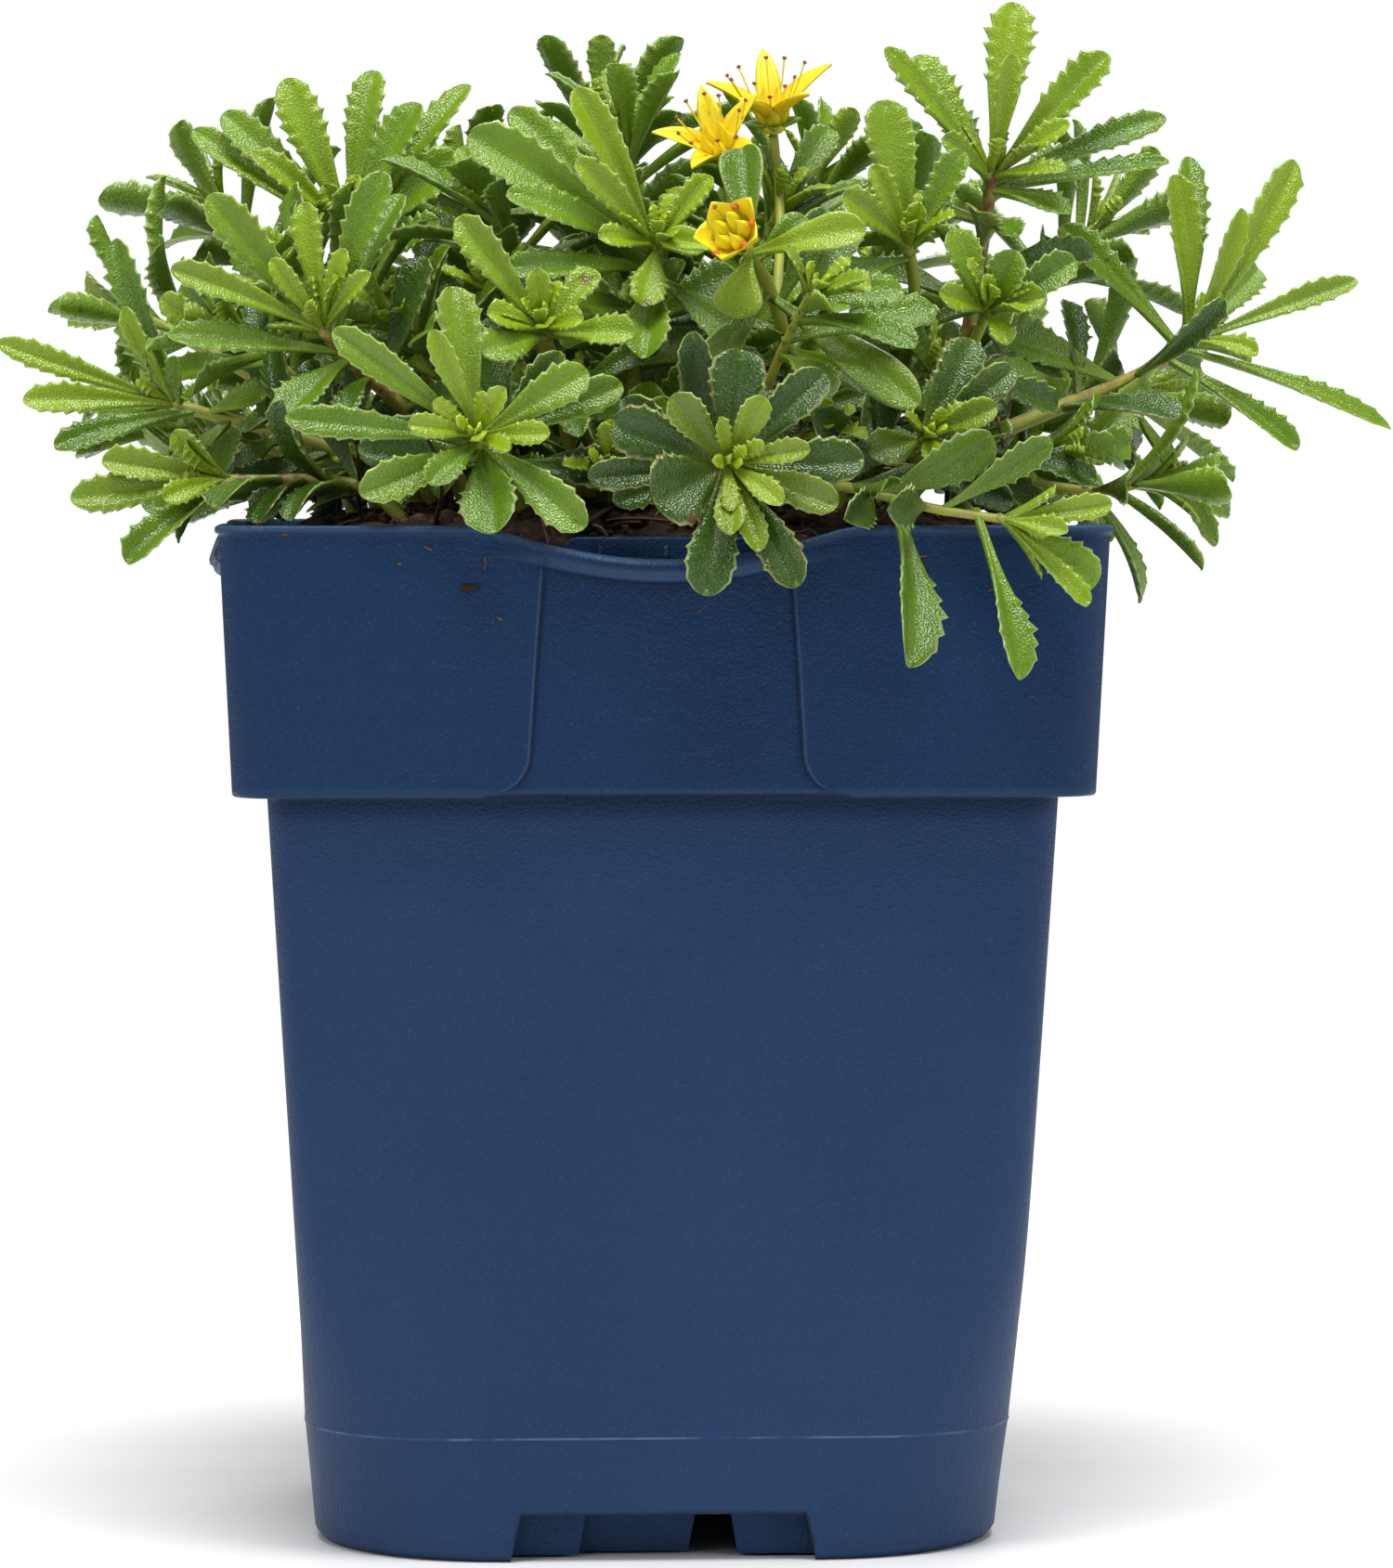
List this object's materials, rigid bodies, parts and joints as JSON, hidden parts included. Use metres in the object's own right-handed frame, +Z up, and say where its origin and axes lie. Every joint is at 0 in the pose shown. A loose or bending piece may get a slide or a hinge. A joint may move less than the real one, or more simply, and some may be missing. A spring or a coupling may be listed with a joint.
{
  "type": "potted stonecrop plant",
  "caption": "Low branching stonecrop with toothed spoon-shaped leaves and yellow star flowers, growing in a tall square plastic nursery pot with a deep skirt.",
  "frame": {"origin": "middle of the pot's underside, on the surface that the pot stands on", "axes": "+Z up, +X to the right and +Y away from a viewer facing the pictured side"},
  "size_m": [0.1485, 0.1279, 0.1622],
  "materials": {
    "pot": "deep blue moulded plastic with a fine leather grain and a faint sheen",
    "soil": "dark brown fibrous potting peat with small roots",
    "leaf": "fleshy mid-green leaf, fine-grained and half glossy, paler margin",
    "flower": "satin bright yellow petals and carpels"
  },
  "bodies": {
    "root": {"pot": "pot", "soil": "soil", "shoot_flowering": "leaf", "shoot_front_left": "leaf", "shoot_front_middle": "leaf", "shoot_front_right": "leaf", "shoot_low_right": "leaf", "shoot_right_rosette": "leaf", "shoot_lower_left": "leaf", "shoot_left": "leaf", "shoot_upper_left": "leaf", "shoot_left_top": "leaf", "shoot_middle": "leaf", "shoot_middle_left": "leaf", "shoot_right_top": "leaf", "shoot_right_inner": "leaf", "shoot_far_right": "leaf", "shoot_back_centre": "leaf", "shoot_inner_right": "leaf", "shoot_left_back": "leaf", "shoot_left_edge": "leaf", "shoot_right_back": "leaf", "shoot_right_edge": "leaf", "shoot_back_right_low": "leaf", "shoot_back_low": "leaf", "shoot_back_left_low": "leaf", "shoot_corner_left": "leaf", "shoot_back_right_top": "leaf", "shoot_back_top": "leaf", "shoot_back_left_top": "leaf", "flower_upper": "flower", "flower_lower": "flower", "flower_bud": "flower"}
  },
  "joints": []
}
